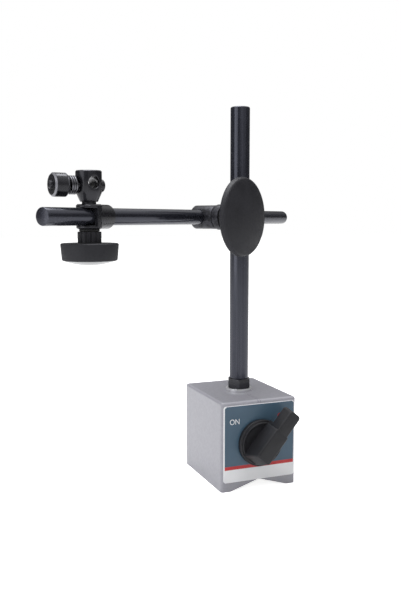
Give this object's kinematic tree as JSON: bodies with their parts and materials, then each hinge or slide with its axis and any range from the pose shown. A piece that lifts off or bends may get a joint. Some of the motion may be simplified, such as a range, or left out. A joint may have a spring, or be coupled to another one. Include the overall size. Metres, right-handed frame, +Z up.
{
  "type": "magnetic indicator stand",
  "caption": "Magnetic base stand for a dial indicator: switchable magnet block, round post, swivel clamp with knob, cross arm and stem holder.",
  "frame": {"origin": "centre of the magnet block's bottom face", "axes": "+Z up along the post, the switch and label face -Y, +X to the right seen from the switch"},
  "size_m": [0.2028, 0.1388, 0.2326],
  "materials": {
    "lacquer": "satin silver-grey lacquer, ground bare feet",
    "brass": "turned brass",
    "label": "printed satin plate",
    "cover": "satin",
    "bright_steel": "zinc bright",
    "rotor_steel": "ground",
    "ferrite": "sintered",
    "black_plastic": "matte moulded",
    "black_oxide": "black oxide, satin",
    "grey_steel": "satin black oxide, worn grey",
    "black_washer": "dull black"
  },
  "bodies": {
    "magnet_base": {"pole_block_right": "lacquer", "pole_block_left": "lacquer", "separator_top": "brass", "separator_bottom": "brass", "label_plate": "label", "rear_cover": "cover", "rear_cover_screws": "bright_steel", "rear_bush": "brass", "front_bush": "brass", "foot_washer": "bright_steel"},
    "switch": {"rotor_magnet": "ferrite", "rotor_pole_upper": "rotor_steel", "rotor_pole_lower": "rotor_steel", "drive_shaft": "rotor_steel", "stop_pin": "bright_steel", "tail_shaft": "rotor_steel", "switch_knob": "black_plastic", "knob_grub_screw": "black_oxide"},
    "post": {"post": "black_oxide", "lock_nut": "black_oxide"},
    "post_clamp": {"post_clamp": "black_oxide"},
    "arm_clamp": {"clamp_bolt": "black_oxide", "arm_sleeve": "grey_steel", "friction_ring": "grey_steel", "spacer_washer": "black_washer"},
    "clamp_knob": {"clamp_knob": "black_plastic", "clamp_knob_insert": "brass"},
    "arm": {"arm_rod": "black_oxide"},
    "snug": {"snug_sleeve": "black_oxide", "tie_bolt": "black_oxide", "seat_washer": "black_washer"},
    "holder_knob": {"holder_knob": "black_plastic", "holder_knob_insert": "brass"},
    "holder_head": {"holder_head": "black_oxide", "draw_bolt": "black_oxide", "holder_spring": "bright_steel"},
    "thumb_nut": {"thumb_nut": "black_oxide"}
  },
  "joints": [
    {"name": "switch_turn", "type": "hinge", "parent": "magnet_base", "child": "switch", "pos_m": [0, 0, 0.029], "axis": [0, -1, 0], "range_deg": [0, 90]},
    {"name": "post_turn", "type": "hinge", "parent": "magnet_base", "child": "post", "pos_m": [0, 0, 0.055], "axis": [0, 0, 1], "continuous": true},
    {"name": "clamp_slide", "type": "slide", "parent": "post", "child": "post_clamp", "axis": [0, 0, 1], "range_m": [-0.075, 0.055]},
    {"name": "arm_tilt", "type": "hinge", "parent": "post_clamp", "child": "arm_clamp", "pos_m": [-0.01253, -0.00834, 0.1651], "axis": [-0.5541, 0.8324, 0], "range_deg": [-45, 55]},
    {"name": "clamp_knob_turn", "type": "hinge", "parent": "arm_clamp", "child": "clamp_knob", "pos_m": [-0.01253, -0.00834, 0.1651], "axis": [0.5541, -0.8324, 0], "range_deg": [0, 360]},
    {"name": "arm_slide", "type": "slide", "parent": "arm_clamp", "child": "arm", "axis": [0.8324, 0.5541, 0], "range_m": [-0.085, 0.065]},
    {"name": "snug_turn", "type": "hinge", "parent": "arm", "child": "snug", "pos_m": [-0.02189, 0.00573, 0.1651], "axis": [0.8324, 0.5541, 0], "continuous": true},
    {"name": "holder_knob_turn", "type": "hinge", "parent": "snug", "child": "holder_knob", "pos_m": [-0.10817, -0.05171, 0.1651], "axis": [0, 0, 1], "range_deg": [0, 360]},
    {"name": "head_turn", "type": "hinge", "parent": "snug", "child": "holder_head", "pos_m": [-0.10817, -0.05171, 0.1651], "axis": [0, 0, 1], "continuous": true},
    {"name": "thumb_nut_turn", "type": "hinge", "parent": "holder_head", "child": "thumb_nut", "pos_m": [-0.10817, -0.05171, 0.1808], "axis": [-0.9763, -0.2164, 0], "range_deg": [0, 360]}
  ]
}
